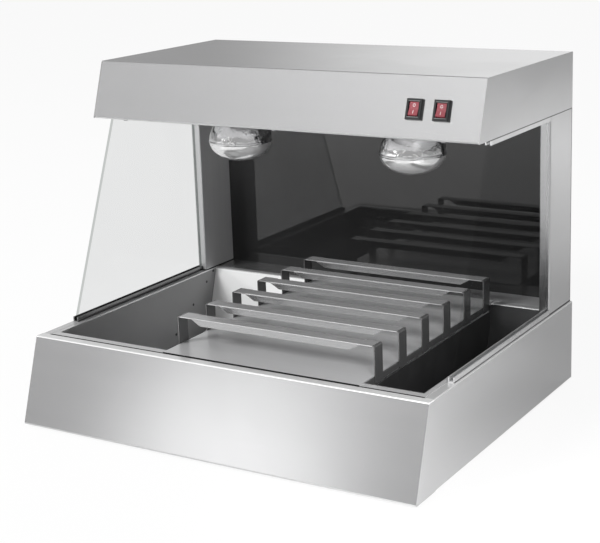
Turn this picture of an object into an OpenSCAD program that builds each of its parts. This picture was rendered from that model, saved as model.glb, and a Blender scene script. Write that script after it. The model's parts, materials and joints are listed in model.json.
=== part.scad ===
// Heated fry holding station: a folded sheet-metal base with a deep chip pan
// and a lift-out rack of ribs, two corner columns with a dark back panel, side
// glass in channels, and a lamp hood with two heat lamps and rocker switches.
// Millimetres. X runs across the front, Y to the rear and Z up. The origin is
// the centre of the bottom of the whole outline.

/* [Base] */
// Width of the base
base_w = 700; // [660:5:760]
// Depth of the base
base_d = 579; // [560:1:620]
// Height of the base without its feet
base_h = 135; // [125:1:160]
// How far the front panel leans back over its height
front_lean = 45; // [30:1:60]
// Thickness of the body sheet
sheet = 1.2; // [0.8:0.1:2]
// Inner radius of the sheet bends
bend_r = 1.0; // [0.5:0.1:2]
// Width of the flat front rim
rim_front = 15.5; // [13:0.5:20]
// Width of the flat side rims
rim_side = 14; // [13:0.1:16]
// Width of the flanges that the panels are joined by
flange_w = 16; // [12:1:20]
// Height of the rubber feet below the base
foot_h = 4; // [3:0.5:8]
// Radius of a rubber foot
foot_r = 11; // [8:0.5:16]
// Distance of the feet from the sides of the base
foot_inset = 46; // [36:1:60]

/* [Chip pan] */
// Depth of the pan below the rim
pan_deep = 112; // [90:1:118]
// Thickness of the pan sheet
pan_sheet = 1.0; // [0.8:0.1:1.5]
// Width of the pan's front flange
pan_flange_front = 17.5; // [14:0.5:20]
// Width of the pan's rear flange
pan_flange_rear = 12; // [9:0.2:14]
// How far the pan's rear wall leans forward over its height
pan_ramp = 34; // [20:1:50]
// Depth of the flat shelf behind the pan
rear_shelf = 55; // [48:1:62]
// Radius of the bend between the pan's floor and its rear wall
pan_floor_r = 24; // [8:1:32]
// Radius of the rivet heads on the pan walls
rivet_head_r = 2.6; // [2:0.1:3.5]

/* [Crumb tray] */
// Thickness of the crumb tray sheet
tray_sheet = 1.0; // [0.8:0.1:1.5]
// Gap left round the crumb tray
tray_gap = 1.4; // [0.8:0.1:2.5]

/* [Rib rack] */
// Width of the rack plate
rack_w = 343.5; // [300:0.5:380]
// Distance of the rack plate's left edge from the middle, to the left
rack_left = 111.5; // [90:0.5:140]
// Thickness of the rack plate and ribs
rack_sheet = 1.5; // [1:0.1:2]
// Height of the rack from the plate's top to the lower edge of its side rails
rack_rail = 12; // [8:0.5:20]
// Width of the rails' flanges below the plate
rail_flange = 10; // [6:0.5:16]
// Depth of each rib's flat top
rib_deep = 24; // [18:1:30]
// Height of the rib tops above the rim
rib_h = 46; // [35:1:60]
// Distance of the first rib behind the rack plate's front edge
rib_start = 43.5; // [36:0.5:48]
// Distance of the last rib in front of the rack plate's rear edge
rib_end = 18.2; // [14:0.1:24]
// Height of the turned-down lips along a rib
lip_h = 11; // [7:0.5:14]
// Distance of the lips from the rib's ends
lip_in = 24; // [15:1:40]
// Length of the slanted ends of the lips
lip_cut = 17; // [8:1:24]

/* [Columns and back] */
// Width of the space between the base and the hood
gap_h = 325; // [280:1:360]
// Width of each corner column, seen from the front
column_w = 18; // [14:0.5:24]
// How far the columns and the hood stand in from the sides of the base
column_in = 3.5; // [2:0.5:5]
// Depth of the columns
column_d = 93; // [70:1:110]
// Thickness of the dark back panel
mirror_t = 4; // [3:0.5:6]

/* [Side glass] */
// Thickness of the side glass
glass_t = 5; // [4:0.5:6]
// Clearance on each side of the glass in its channel
glass_gap = 0.4; // [0.2:0.1:1]
// Width of a glazing channel
channel_w = 10; // [9:0.5:12]
// Height of a glazing channel
channel_h = 8; // [6:0.5:12]
// Thickness of a channel's floor
channel_floor = 1.6; // [1:0.1:2]
// Distance of the bottom channel's front end from the front of the base
channel_front = 131; // [110:1:150]
// Distance of the glass's top front corner from the front of the base
glass_top_front = 262; // [250:1:290]

/* [Hood] */
// Height of the hood
hood_h = 90.5; // [84:0.5:110]
// Distance of the hood's lower front edge from the front of the base
hood_front = 217.4; // [190:1:235]
// How far the hood's front leans back over its height
hood_lean = 31.2; // [20:1:40]
// Width of the hood's turned-in lower lip
hood_lip = 16; // [12:1:20]

/* [Lamps] */
// Distance between the two lamps
lamp_pitch = 324; // [280:2:360]
// Distance of the lamps from the front of the base
lamp_y = 373; // [330:1:400]
// Largest radius of a lamp
lamp_r = 53.7; // [47.5:0.1:58]
// How far a lamp hangs below the hood
lamp_drop = 85; // [75:1:95]
// Height of a lamp's rounded face below its widest place
lamp_face = 34; // [25:1:40]
// Thickness of the lamp glass
lamp_wall = 1.6; // [1:0.1:2.5]
// Radius of the lamp's neck
neck_r = 17; // [15:0.5:20]
// Radius of the lamp's screw cap
cap_r = 13.2; // [13:0.1:14]
// Length of the lamp's screw cap
cap_len = 33; // [28:1:35]
// Wall of the lamp socket round the cap
socket_wall = 7; // [5:0.5:10]

/* [Switches] */
// Distance of the first switch from the hood's right side
switch_side = 107.5; // [100:0.5:146]
// Distance between the two switches
switch_pitch = 44; // [38:1:52]
// Height of the switches along the hood's front
switch_up = 45; // [38:1:52]
// Width of a switch frame
switch_w = 25.5; // [24:0.5:28]
// Height of a switch frame
switch_h = 31; // [30:0.5:34]
// How far a switch frame stands out of the hood
switch_out = 5; // [3:0.5:7]
// Width of a rocker
rocker_w = 17; // [15:0.5:18]
// Turn of a rocker to each side of its middle, in degrees
rocker_turn = 8; // [6:1:10]

/* [Fittings] */
// Radius of the fixing screws' shanks
screw_r = 2; // [1.5:0.1:2.5]
// Radius of the fixing screws' heads
screw_head_r = 3.8; // [3:0.1:5]
// Clearance between a screw's shank and its hole
screw_gap = 0.05; // [0.02:0.01:0.1]
// Bore of the cable gland
gland_bore_r = 4.5; // [3:0.1:5]
// Distance of the cable gland from the base's right side
gland_side = 100; // [70:5:200]
// Height of the cable gland above the base's underside
gland_z = 55; // [40:1:80]
// How far the cable gland stands out behind the base
gland_out = 16; // [12:1:24]

/* [Hidden] */

$fn = 48;
steel = "#b9bbbd";
dark_steel = "#4b4c4f";
tiny = 0.01;
seam = 0.4;

half_w = base_w / 2;
front_angle = atan(front_lean / base_h);
front_skin = sheet / cos(front_angle);
function front_inner(z) = front_skin + front_lean * z / base_h;
bottom_x = half_w - sheet - bend_r - seam;
// Where the rounded lower front edge begins, and the middle of the whole depth
front_edge = (sheet + bend_r) * (tan(45 + front_angle / 2) - 1);
middle_y = (front_edge + base_d + gland_out) / 2;
foot_neck_r = 4;

// The groove between the rims and the pan's flange, and the ledge behind it
groove_slope = 1.2;
groove_r = 0.3;
ledge_w = 5;
rim_x = half_w - rim_side;
rim_y = front_lean + rim_front;

column_x = half_w - column_in;
column_front = base_d - column_d;
column_rear = base_d - sheet;
mirror_x = column_x - column_w - 0.3;

hood_z = base_h + gap_h;
hood_top = hood_z + hood_h;
hood_angle = atan(hood_lean / hood_h);
hood_skin = sheet / cos(hood_angle);
function front_of_hood(z) = hood_front + hood_skin + hood_lean * z / hood_h;
plate_z = hood_z + sheet;
plate_x = column_x - sheet - bend_r - seam;
vent_n = 10;
vent_pitch = 46;
vent_len = 26;
vent_w = 5;

pan_x = column_x - column_w - 0.5;
pan_flange_x = rim_x - groove_slope - 0.2;
pan_flange_y = rim_y + groove_slope + 0.2;
pan_front = rim_y + pan_flange_front;
shelf_front = base_d - rear_shelf;
pan_flange_end = shelf_front - groove_slope - 0.2;
pan_rear = shelf_front - pan_flange_rear;
pan_floor = base_h - pan_deep;
pan_ease = 2;
rivet_r = 1.6;
rivet_first = [8, 5];
rivet_fall = 35.6;
rivet_steps = [0, 27, 82, 152];

rack_x0 = -rack_left;
rack_x1 = rack_w - rack_left;
rack_top = base_h + rack_sheet;
rail_z = rack_top - rack_rail;
rail_front = pan_front + 2 * pan_ease;
rail_rear = pan_rear - 4 * pan_ease;
rib_top = base_h + rib_h;
rib_pitch = (pan_flange_end - pan_flange_y - rib_start - rib_end - rib_deep) / 5;

glass_x = column_x - channel_w / 2;
channel_slot = glass_t + 2 * glass_gap;

lamp_bottom = hood_z - lamp_drop;
lamp_wide = lamp_bottom + lamp_face;
cap_room = 24;
socket_floor = 12;
cap_top = hood_top - cap_room;
cap_bottom = cap_top - cap_len;
socket_top = cap_top + socket_floor;
socket_len = cap_len + socket_floor - 1;
socket_r = cap_r + socket_wall;
bore_r = cap_r + 0.4;
bore_top = cap_top + 0.3 - socket_top + socket_len;
lamp_hole_r = 42;
bracket_t = 1.5;
bracket_w = 30;
bracket_half = 56;
bracket_foot = 14;
foot_top = plate_z + sheet + bracket_t;

switch_x = column_x - switch_side;
switch_body_w = 22;
switch_body_h = 27.4;
switch_deep = 24;
switch_border = 3.6;
rocker_room = switch_h / 2 - switch_border;
rocker_half = rocker_room - 1.7;
rocker_face = 4;
pin_r = 1.5;
pin_len = 1.4;

gland_x = half_w - gland_side;
thread_r = 8;
thread_len = 12;
gland_hex_r = 14;

screw_hole_r = screw_r + screw_gap;
screw_head_h = 2.2;
screw_len = 7;
bottom_screw_x = half_w - flange_w / 2;
bottom_screw_y = [rim_y + flange_w + 2 * screw_head_r, base_d / 2,
    base_d - foot_inset - foot_r - screw_head_r];
hood_screw_in = 60;
hood_screw_x = [hood_screw_in - column_x, 0, column_x - hood_screw_in];
hood_screw_y = hood_front + hood_lip / 2 + 1;
back_screw_x = column_x - 6;
back_screw_in = 40;
rear_screw_in = 20;
back_screw_z = [base_h + back_screw_in, hood_z - back_screw_in];
rear_screw_z = [hood_z + rear_screw_in, hood_top - rear_screw_in];
terminal_aside = 60;
terminal_front = 70;
clamp_pitch = 12;
clamp_w = 10;
clamp_deep = 18;
clamp_top = 16;
clamp_base = 3;
wire_hole_r = 2.5;
wire_hole_z = 8.5;
clamp_screw_r = 1.8;

// A two-number vector turned a quarter to the left
function left_of(v) = [-v[1], v[0]];
function unit(v) = v / norm(v);
function reversed(list) = [for (i = [len(list) - 1:-1:0]) list[i]];

// The points of one bend of a folded sheet: corner b between a and c, inner
// radius r and sheet thickness t, drawn d to the right of the path
function bend_points(a, b, c, r, t, d) =
    let (u = unit(b - a), v = unit(c - b), turn = cross(u, v) > 0 ? 1 : -1,
        angle = acos(min(1, max(-1, u * v))), steps = r > 10 ? 8 : 4,
        path_r = turn > 0 ? r : r + t,
        centre = b - u * path_r * tan(angle / 2) + left_of(u) * turn * path_r,
        start = atan2(-left_of(u)[1] * turn, -left_of(u)[0] * turn),
        rad = path_r + turn * d)
    [for (i = [0:steps]) centre + rad * [cos(start + turn * angle * i / steps),
        sin(start + turn * angle * i / steps)]];

// One skin of a folded sheet, d to the right of its path. The radii are one
// number for all bends or a list with one for each
function fold_side(path, radii, t, d) =
    let (last = len(path) - 1, u = unit(path[1] - path[0]), v = unit(path[last] - path[last - 1]))
    concat([path[0] - left_of(u) * d],
        [for (i = [1:1:last - 1]) each bend_points(path[i - 1], path[i], path[i + 1],
            is_list(radii) ? radii[i - 1] : radii, t, d)],
        [path[last] - left_of(v) * d]);

// The section of a folded sheet, with its thickness to the right of the path
module fold_section(path, radii, t) {
    polygon(concat(fold_side(path, radii, t, 0), reversed(fold_side(path, radii, t, t))));
}

// Moves a piece drawn with Y from the front of the base and Z from its
// underside to its place in the whole outline
module place() {
    translate([0, -middle_y, foot_h]) children();
}

// Extrudes a section drawn in Y and Z along X, from x0 to x1
module along_x(x0, x1) {
    translate([x0, 0, 0]) rotate([90, 0, 90]) linear_extrude(x1 - x0) children();
}

// Extrudes a section drawn in X and Z along Y, from y0 to y1
module along_y(y0, y1) {
    translate([0, y1, 0]) rotate([90, 0, 0]) linear_extrude(y1 - y0) children();
}

// A block between two opposite corners
module box(a, b) {
    translate(a) cube(b - a);
}

module mirrored(side) {
    mirror([side < 0 ? 1 : 0, 0, 0]) children();
}

// A hole along Z through a sheet between the heights z0 and z1
module hole_z(x, y, z0, z1, r) {
    translate([x, y, z0 - 1]) cylinder(r = r, h = z1 - z0 + 2);
}

// A screw with a domed head, the head's underside at the origin and the shank
// pointing along +Z
module screw(length) {
    rotate_extrude() polygon(concat([[0, length], [screw_r, length], [screw_r, 0], [screw_head_r, 0]],
        [for (i = [0:4]) [screw_head_r * cos(i * 20), -0.5 - (screw_head_h - 0.5) * sin(i * 20)]],
        [[0, -screw_head_h]]));
}

// Body panels of the base

module base_front_panel() {
    color(steel) place() difference() {
        along_x(-half_w, half_w)
            fold_section([[flange_w, 0], [0, 0], [front_lean, base_h], [rim_y, base_h],
                [rim_y + groove_slope, base_h - pan_sheet],
                [rim_y + groove_slope + ledge_w, base_h - pan_sheet]],
                [bend_r, bend_r, groove_r, groove_r], sheet);
        for (side = [-1, 1]) mirrored(side)
            box([rim_x, rim_y, base_h - 10], [half_w + 1, pan_front + ledge_w, base_h + 1]);
    }
}

// The right side panel. Its front stretch is a plain web behind the front panel
module base_side_panel() {
    color(steel) place() difference() {
        union() {
            along_y(rim_y, base_d)
                fold_section([[rim_x - groove_slope - ledge_w, base_h - pan_sheet],
                    [rim_x - groove_slope, base_h - pan_sheet], [rim_x, base_h], [half_w, base_h],
                    [half_w, 0], [half_w - flange_w, 0]],
                    [groove_r, groove_r, bend_r, bend_r], sheet);
            along_x(half_w - sheet, half_w)
                polygon([[flange_w + seam, 0], [flange_w + seam, sheet],
                    [front_inner(sheet) + 2 * bend_r, sheet],
                    [front_inner(sheet + 2 * bend_r), sheet + 2 * bend_r],
                    [front_inner(base_h - sheet - 2 * bend_r), base_h - sheet - 2 * bend_r],
                    [front_inner(base_h - sheet) + bend_r, base_h - sheet],
                    [rim_y - sheet, base_h - sheet], [rim_y, base_h - sheet - seam], [rim_y, 0]]);
        }
        box([pan_x - ledge_w, rim_y - 1, base_h - 10],
            [rim_x, rim_y + groove_slope + ledge_w + seam, base_h + 1]);
        box([pan_x - ledge_w, pan_rear, base_h - 10], [rim_x, base_d + 1, base_h + 1]);
        box([pan_x, base_d - sheet, -1], [half_w + 1, base_d + 1, base_h - sheet]);
        for (y = bottom_screw_y) hole_z(bottom_screw_x, y, 0, sheet, screw_hole_r);
    }
}
module base_left_panel() mirror([1, 0, 0]) base_side_panel();
module base_right_panel() base_side_panel();

module base_rear_panel() {
    color(steel) place() difference() {
        along_x(-half_w, half_w)
            fold_section([[base_d - flange_w, base_h - sheet], [base_d, base_h - sheet], [base_d, 0],
                [base_d - flange_w, 0]], bend_r, sheet);
        for (side = [-1, 1]) mirrored(side) {
            box([half_w - flange_w - seam, base_d - flange_w - 1, -1],
                [half_w + 1, base_d - sheet, sheet + bend_r]);
            box([rim_x, base_d - flange_w - 1, base_h - 2 * sheet - bend_r],
                [half_w + 1, base_d - sheet, base_h]);
        }
        at_gland() translate([0, 0, -sheet - 1]) cylinder(r = thread_r + screw_gap, h = sheet + 2);
    }
}

// The flat shelf behind the pan, between the side rims
module base_rear_shelf() {
    color(steel) place() along_x(-rim_x, rim_x)
        fold_section([[shelf_front - groove_slope - ledge_w, base_h - pan_sheet],
            [shelf_front - groove_slope, base_h - pan_sheet], [shelf_front, base_h],
            [base_d, base_h]], groove_r, sheet);
}

module base_bottom_plate() {
    color(steel) place() difference() {
        box([-bottom_x, front_inner(2 * sheet) + bend_r, sheet],
            [bottom_x, base_d - sheet - bend_r - seam, 2 * sheet]);
        at_feet() hole_z(0, 0, sheet, 2 * sheet, foot_neck_r + screw_gap);
        for (side = [-1, 1], y = bottom_screw_y)
            hole_z(side * bottom_screw_x, y, sheet, 2 * sheet, screw_hole_r);
    }
}

module at_feet() {
    for (x = [-1, 1], y = [foot_inset, base_d - foot_inset])
        translate([x * (half_w - foot_inset), y, 0]) children();
}

// A push-in rubber foot: a round pad, a neck through the plate and a barb
module rubber_feet() {
    color("#26262a") place() at_feet() rotate_extrude()
        polygon([[0, -foot_h], [foot_r - 1, -foot_h], [foot_r, -foot_h + 1], [foot_r - 0.8, sheet],
            [foot_neck_r, sheet], [foot_neck_r, 2 * sheet], [foot_neck_r + 1.6, 2 * sheet],
            [foot_neck_r - 1, 2 * sheet + 6], [0, 2 * sheet + 6]]);
}

// Columns, back and side glass

module corner_column() {
    color(steel) place() translate([0, 0, base_h]) difference() {
        linear_extrude(gap_h)
            fold_section([[column_x - column_w * 0.6, column_rear], [column_x, column_rear],
                [column_x, column_front], [column_x - column_w, column_front],
                [column_x - column_w, column_rear]], bend_r, sheet);
        for (z = back_screw_z) translate([back_screw_x, column_rear + 1, z - base_h])
            rotate([90, 0, 0]) cylinder(r = screw_hole_r, h = sheet + 2);
    }
}
module left_column() mirror([1, 0, 0]) corner_column();
module right_column() corner_column();

module back_cover() {
    color(steel) place() difference() {
        box([-column_x, column_rear, base_h], [column_x, base_d, hood_z]);
        for (side = [-1, 1], z = back_screw_z) translate([side * back_screw_x, base_d + 1, z])
            rotate([90, 0, 0]) cylinder(r = screw_hole_r, h = sheet + 2);
    }
}

module back_mirror() {
    color("#2c2b2e") place() box([-mirror_x, column_rear - mirror_t, base_h],
        [mirror_x, column_rear, hood_z]);
}

// A glazing channel between two Y values, open along +Z, floor at the origin
module channel(y0, y1) {
    difference() {
        box([-channel_w / 2, y0, 0], [channel_w / 2, y1, channel_h]);
        box([-channel_slot / 2, y0 - 1, channel_floor], [channel_slot / 2, y1 + 1, channel_h + 1]);
    }
}
module bottom_channel(side) {
    color("#c9cacb") place() translate([side * glass_x, 0, base_h]) channel(channel_front, column_front);
}
module top_channel(side) {
    color("#c9cacb") place() translate([side * glass_x, 0, hood_z]) mirror([0, 0, 1])
        channel(glass_top_front - 2, column_front);
}
module left_bottom_channel() bottom_channel(-1);
module right_bottom_channel() bottom_channel(1);
module left_top_channel() top_channel(-1);
module right_top_channel() top_channel(1);

module side_glass(side) {
    color([0.85, 0.9, 0.9, 0.35]) place()
        along_x(side * glass_x - glass_t / 2, side * glass_x + glass_t / 2)
        polygon([[channel_front + 1, base_h + channel_floor], [column_front - seam, base_h + channel_floor],
            [column_front - seam, hood_z - channel_floor - seam],
            [glass_top_front, hood_z - channel_floor - seam]]);
}
module left_glass() side_glass(-1);
module right_glass() side_glass(1);

// Hood

module hood_cover() {
    color(steel) place() difference() {
        union() {
            along_x(-column_x, column_x)
                fold_section([[hood_front + hood_lip, hood_z], [hood_front, hood_z],
                    [hood_front + hood_lean, hood_top], [base_d, hood_top],
                    [base_d, hood_top - hood_lip]], bend_r, sheet);
            for (side = [-1, 1]) mirrored(side) hood_cheek();
        }
        for (x = hood_screw_x) hole_z(x, hood_screw_y, hood_z, plate_z, screw_hole_r);
        for (side = [-1, 1], z = rear_screw_z) translate([side * back_screw_x, base_d + 1, z])
            rotate([90, 0, 0]) cylinder(r = screw_hole_r, h = sheet + 2);
        for (x = [switch_x, switch_x + switch_pitch]) on_hood_front(x)
            box([-switch_body_w / 2 - 0.2, -switch_body_h / 2 - 0.2, -10],
                [switch_body_w / 2 + 0.2, switch_body_h / 2 + 0.2, 10]);
    }
}

// The right cheek of the hood, with its turned-in lower and rear lips
module hood_cheek() {
    along_x(column_x - sheet, column_x)
        polygon([[hood_front + bend_r, hood_z], [hood_front + hood_lean * bend_r / hood_h, hood_z + bend_r],
            [hood_front + hood_lean - bend_r, hood_top - 2 * bend_r],
            [hood_front + hood_lean + bend_r, hood_top - bend_r / 2],
            [base_d - bend_r, hood_top - bend_r / 2], [base_d, hood_top - 2 * bend_r], [base_d, hood_z]]);
    along_y(hood_front + hood_lip / 2, base_d)
        fold_section([[column_x, hood_z + 3 * bend_r + sheet], [column_x, hood_z],
            [column_x - hood_lip, hood_z]], bend_r, sheet);
    box([column_x - hood_lip, base_d - sheet, hood_z], [column_x, base_d, hood_top - bend_r]);
}

module hood_lamp_plate() {
    color("#cfd0d1") place() difference() {
        box([-plate_x, front_of_hood(2 * sheet) + bend_r, plate_z],
            [plate_x, base_d - 2 * sheet - seam, plate_z + sheet]);
        for (side = [-1, 1]) hole_z(side * lamp_pitch / 2, lamp_y, plate_z, plate_z + sheet, lamp_hole_r);
        for (x = hood_screw_x) hole_z(x, hood_screw_y, plate_z, plate_z + sheet, screw_hole_r);
    }
}

module hood_rear_cover() {
    color(steel) place() difference() {
        box([-plate_x, base_d - 2 * sheet, plate_z],
            [plate_x, base_d - sheet, hood_top - sheet - bend_r - seam]);
        for (side = [-1, 1], z = rear_screw_z) translate([side * back_screw_x, base_d, z])
            rotate([90, 0, 0]) cylinder(r = screw_hole_r, h = 2 * sheet + 1);
        for (i = [0:vent_n - 1], row = [0, 1])
            translate([(i - (vent_n - 1) / 2) * vent_pitch, base_d, hood_z + hood_h * (0.35 + 0.22 * row)])
                vent_slot();
    }
}

module vent_slot() {
    rotate([90, 0, 0]) linear_extrude(2 * sheet + 1) {
        square([vent_len, vent_w], center = true);
        for (side = [-1, 1]) translate([side * vent_len / 2, 0]) circle(d = vent_w, $fn = 24);
    }
}

// Chip pan and what lies in it

// The inside of the pan in Y and Z, drawn in by d in front and behind, with
// its floor raised by up and its walls cut off at a height
function pan_path(d, up, top) =
    [[pan_front + d, top], [pan_front + pan_ease + d, pan_floor + up],
        [pan_rear - pan_ramp - d, pan_floor + up],
        [pan_rear - d - pan_ramp * (base_h - top) / pan_deep, top]];

module chip_pan() {
    path = pan_path(0, 0, base_h);
    wall = fold_side(path, [pan_ease * 2, pan_floor_r], pan_sheet, pan_sheet);
    color("#a9abad") place() difference() {
        union() {
            along_x(-pan_x, pan_x)
                fold_section(concat([[pan_flange_y, base_h]], path, [[pan_flange_end, base_h]]),
                    [pan_ease, pan_ease * 2, pan_floor_r, pan_ease], pan_sheet);
            for (side = [-1, 1]) mirrored(side) {
                along_x(pan_x - pan_sheet, pan_x) polygon(wall);
                box([pan_x - pan_sheet, pan_flange_y, base_h - pan_sheet],
                    [pan_flange_x, column_front - seam, base_h]);
            }
        }
        at_rivets() translate([-pan_sheet - 1, 0, 0]) rotate([0, 90, 0])
            cylinder(r = rivet_r + screw_gap, h = pan_sheet + 2);
    }
}

// The rivets' places on both side walls of the pan, X pointing outwards. The
// row starts near the top of the rear wall
module at_rivets() {
    for (side = [-1, 1], s = rivet_steps) mirrored(side)
        translate([pan_x, pan_rear - rivet_first[0] - s * cos(rivet_fall),
            base_h - rivet_first[1] - s * sin(rivet_fall)]) children();
}

module pan_rivets() {
    color(dark_steel) place() at_rivets() rotate([0, 90, 0]) rotate_extrude()
        polygon(concat([for (i = [0:4]) [rivet_head_r * sin(i * 22.5), -pan_sheet - 1.2 * cos(i * 22.5)]],
            [[rivet_r, -pan_sheet], [rivet_r, 0], [0, 0]]));
}

// The black tray right of the rack, its left wall cut down below the rack's rail
module crumb_tray() {
    path = pan_path(tray_gap + tray_sheet, tray_sheet, base_h - tray_gap);
    radii = [pan_ease * 2, pan_floor_r - tray_sheet];
    wall = fold_side(path, radii, tray_sheet, tray_sheet);
    x0 = rack_x1 + rack_sheet + tray_gap;
    x1 = pan_x - pan_sheet - tray_gap;
    color("#232326") place() difference() {
        union() {
            along_x(x0, x1) fold_section(path, radii, tray_sheet);
            along_x(x0, x0 + tray_sheet) polygon(wall);
            along_x(x1 - tray_sheet, x1) polygon(wall);
        }
        box([x0 - 1, pan_front + pan_ease + 2 * tray_gap + tray_sheet, rail_z - tray_gap],
            [x0 + tray_sheet + tiny, pan_rear - pan_ramp / 4 - 2 * tray_gap - 2 * tray_sheet, base_h]);
    }
}

// A flat plate lying on the pan's front and rear flanges
module rack_plate() {
    color("#b4b6b8") place() box([rack_x0, pan_flange_y, base_h], [rack_x1, pan_flange_end, rack_top]);
}

// An angle under each side of the plate, inside the pan
module left_rack_rail() {
    color("#b4b6b8") place() along_y(rail_front, rail_rear)
        fold_section([[rack_x0, rail_z], [rack_x0, base_h], [rack_x0 + rail_flange, base_h]],
            bend_r, rack_sheet);
}
module right_rack_rail() {
    color("#b4b6b8") place() along_y(rail_front, rail_rear)
        fold_section([[rack_x1 - rail_flange, base_h], [rack_x1, base_h], [rack_x1, rail_z]],
            bend_r, rack_sheet);
}

// A strap bent over the rack plate and down its rails, with a lip turned down
// along each side of its top, and the lips' ends cut on a slant
module rib(i) {
    y0 = pan_flange_y + rib_start + i * rib_pitch;
    y1 = y0 + rib_deep;
    color("#8f9194") place() {
        difference() {
            along_y(y0, y1)
                fold_section([[rack_x0 - rack_sheet, rail_z], [rack_x0 - rack_sheet, rib_top],
                    [rack_x1 + rack_sheet, rib_top], [rack_x1 + rack_sheet, rail_z]],
                    bend_r, rack_sheet);
            box([rack_x0 + lip_in + tiny, y0 - 1, rib_top - lip_h],
                [rack_x1 - lip_in - tiny, y1 + 1, rib_top + 1]);
        }
        intersection() {
            along_x(rack_x0 + lip_in, rack_x1 - lip_in)
                fold_section([[y0, rib_top - lip_h], [y0, rib_top], [y1, rib_top], [y1, rib_top - lip_h]],
                    bend_r / 2, rack_sheet);
            along_y(y0 - 1, y1 + 1)
                polygon([[rack_x0 + lip_in, rib_top + 1], [rack_x0 + lip_in, rib_top - rack_sheet],
                    [rack_x0 + lip_in + lip_cut, rib_top - lip_h],
                    [rack_x1 - lip_in - lip_cut, rib_top - lip_h],
                    [rack_x1 - lip_in, rib_top - rack_sheet], [rack_x1 - lip_in, rib_top + 1]]);
        }
    }
}
module rib_1() rib(0);
module rib_2() rib(1);
module rib_3() rib(2);
module rib_4() rib(3);
module rib_5() rib(4);
module rib_6() rib(5);

// Heat lamps

module at_lamp(side) place() translate([side * lamp_pitch / 2, lamp_y, 0]) children();

// The outline of a reflector lamp: a round face, a widest ring and a drawn-in
// neck, drawn in by d
function lamp_outline(d) = concat(
    [for (a = [0:10:90]) [(lamp_r - d) * sin(a), lamp_wide - (lamp_face - d) * cos(a)]],
    [for (i = [1:9]) [neck_r - d + (lamp_r - neck_r) * (1 + cos(i * 20)) / 2,
        lamp_wide + (cap_bottom - 4 - lamp_wide) * i / 9]],
    [[cap_r - 0.6 - d, cap_bottom]]);

module lamp_bulb(side) {
    color([0.8, 0.81, 0.82]) at_lamp(side) rotate_extrude()
        polygon(concat(lamp_outline(0), reversed(lamp_outline(lamp_wall))));
}
module left_lamp_bulb() lamp_bulb(-1);
module right_lamp_bulb() lamp_bulb(1);

// A screw cap with a rolled thread and a tapered end
module lamp_cap(side) {
    rolled = cap_len - 9;
    color("#c8b98a") at_lamp(side) translate([0, 0, cap_bottom]) rotate_extrude()
        polygon(concat([[0, 0]], [for (i = [0:20]) [cap_r - 0.4 * (1 - cos(i * 72)), rolled * i / 20]],
            [[cap_r * 0.6, cap_len - 3], [cap_r * 0.34, cap_len], [0, cap_len]]));
}
module left_lamp_cap() lamp_cap(-1);
module right_lamp_cap() lamp_cap(1);

module lamp_socket(side) {
    color("#e9e6de") at_lamp(side) translate([0, 0, socket_top - socket_len]) rotate_extrude()
        polygon([[bore_r, 0], [socket_r - 1, 0], [socket_r, 1], [socket_r, socket_len * 0.55],
            [socket_r - 3, socket_len * 0.62], [socket_r - 3, socket_len], [0, socket_len],
            [0, bore_top], [bore_r, bore_top]]);
}
module left_lamp_socket() lamp_socket(-1);
module right_lamp_socket() lamp_socket(1);

module socket_bracket(side) {
    color("#a6a8aa") at_lamp(side) along_y(-bracket_w / 2, bracket_w / 2)
        fold_section([[-bracket_half - bracket_foot, foot_top], [-bracket_half, foot_top],
            [-bracket_half, socket_top + bracket_t], [bracket_half, socket_top + bracket_t],
            [bracket_half, foot_top], [bracket_half + bracket_foot, foot_top]], bend_r, bracket_t);
}
module left_socket_bracket() socket_bracket(-1);
module right_socket_bracket() socket_bracket(1);

// Switches. Their parts are drawn with X across, Y up the hood's front and Z
// out of it

module on_hood_front(x) {
    translate([x, hood_front + switch_up * sin(hood_angle), hood_z + switch_up * cos(hood_angle)])
        rotate([90 - hood_angle, 0, 0]) children();
}

function chamfered(w, h, c) = [[-w, 0], [-w, h - c], [c - w, h], [w - c, h], [w, h - c], [w, 0]];

module switch_housing(x) {
    color("#1d1d20") place() on_hood_front(x) difference() {
        union() {
            intersection() {
                along_x(-switch_w / 2, switch_w / 2) polygon(chamfered(switch_h / 2, switch_out, 1.2));
                along_y(-switch_h / 2, switch_h / 2) polygon(chamfered(switch_w / 2, switch_out, 1.2));
            }
            box([-switch_body_w / 2, -switch_body_h / 2, -switch_deep],
                [switch_body_w / 2, switch_body_h / 2, tiny]);
        }
        box([-rocker_w / 2 - 0.3, -rocker_room, -rocker_room * 0.75],
            [rocker_w / 2 + 0.3, rocker_room, switch_out + 1]);
        rotate([0, 90, 0]) translate([0, 0, -rocker_w / 2 - pin_len - 0.3])
            cylinder(r = pin_r + screw_gap, h = rocker_w + 2 * pin_len + 0.6);
    }
}
module left_switch_housing() switch_housing(switch_x);
module right_switch_housing() switch_housing(switch_x + switch_pitch);

// A rocker with two slanted halves, rounded ends and a pivot pin on each side,
// stored with its upper half pressed
module switch_rocker(x) {
    rise = rocker_face + rocker_half * tan(rocker_turn);
    reach = norm([rocker_half, rise]);
    lift = atan(rise / rocker_half);
    color("#c8202c") place() on_hood_front(x) rotate([-rocker_turn, 0, 0]) {
        along_x(-rocker_w / 2, rocker_w / 2)
            polygon(concat([[0, rocker_face]],
                [for (i = [0:5]) reach * [cos(lift - i * 9), sin(lift - i * 9)]],
                [for (i = [5:-1:0]) reach * [-cos(lift - i * 9), sin(lift - i * 9)]]));
        rotate([0, 90, 0]) translate([0, 0, -rocker_w / 2 - pin_len])
            cylinder(r = pin_r, h = rocker_w + 2 * pin_len);
    }
}
module left_switch_rocker() switch_rocker(switch_x);
module right_switch_rocker() switch_rocker(switch_x + switch_pitch);

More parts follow.
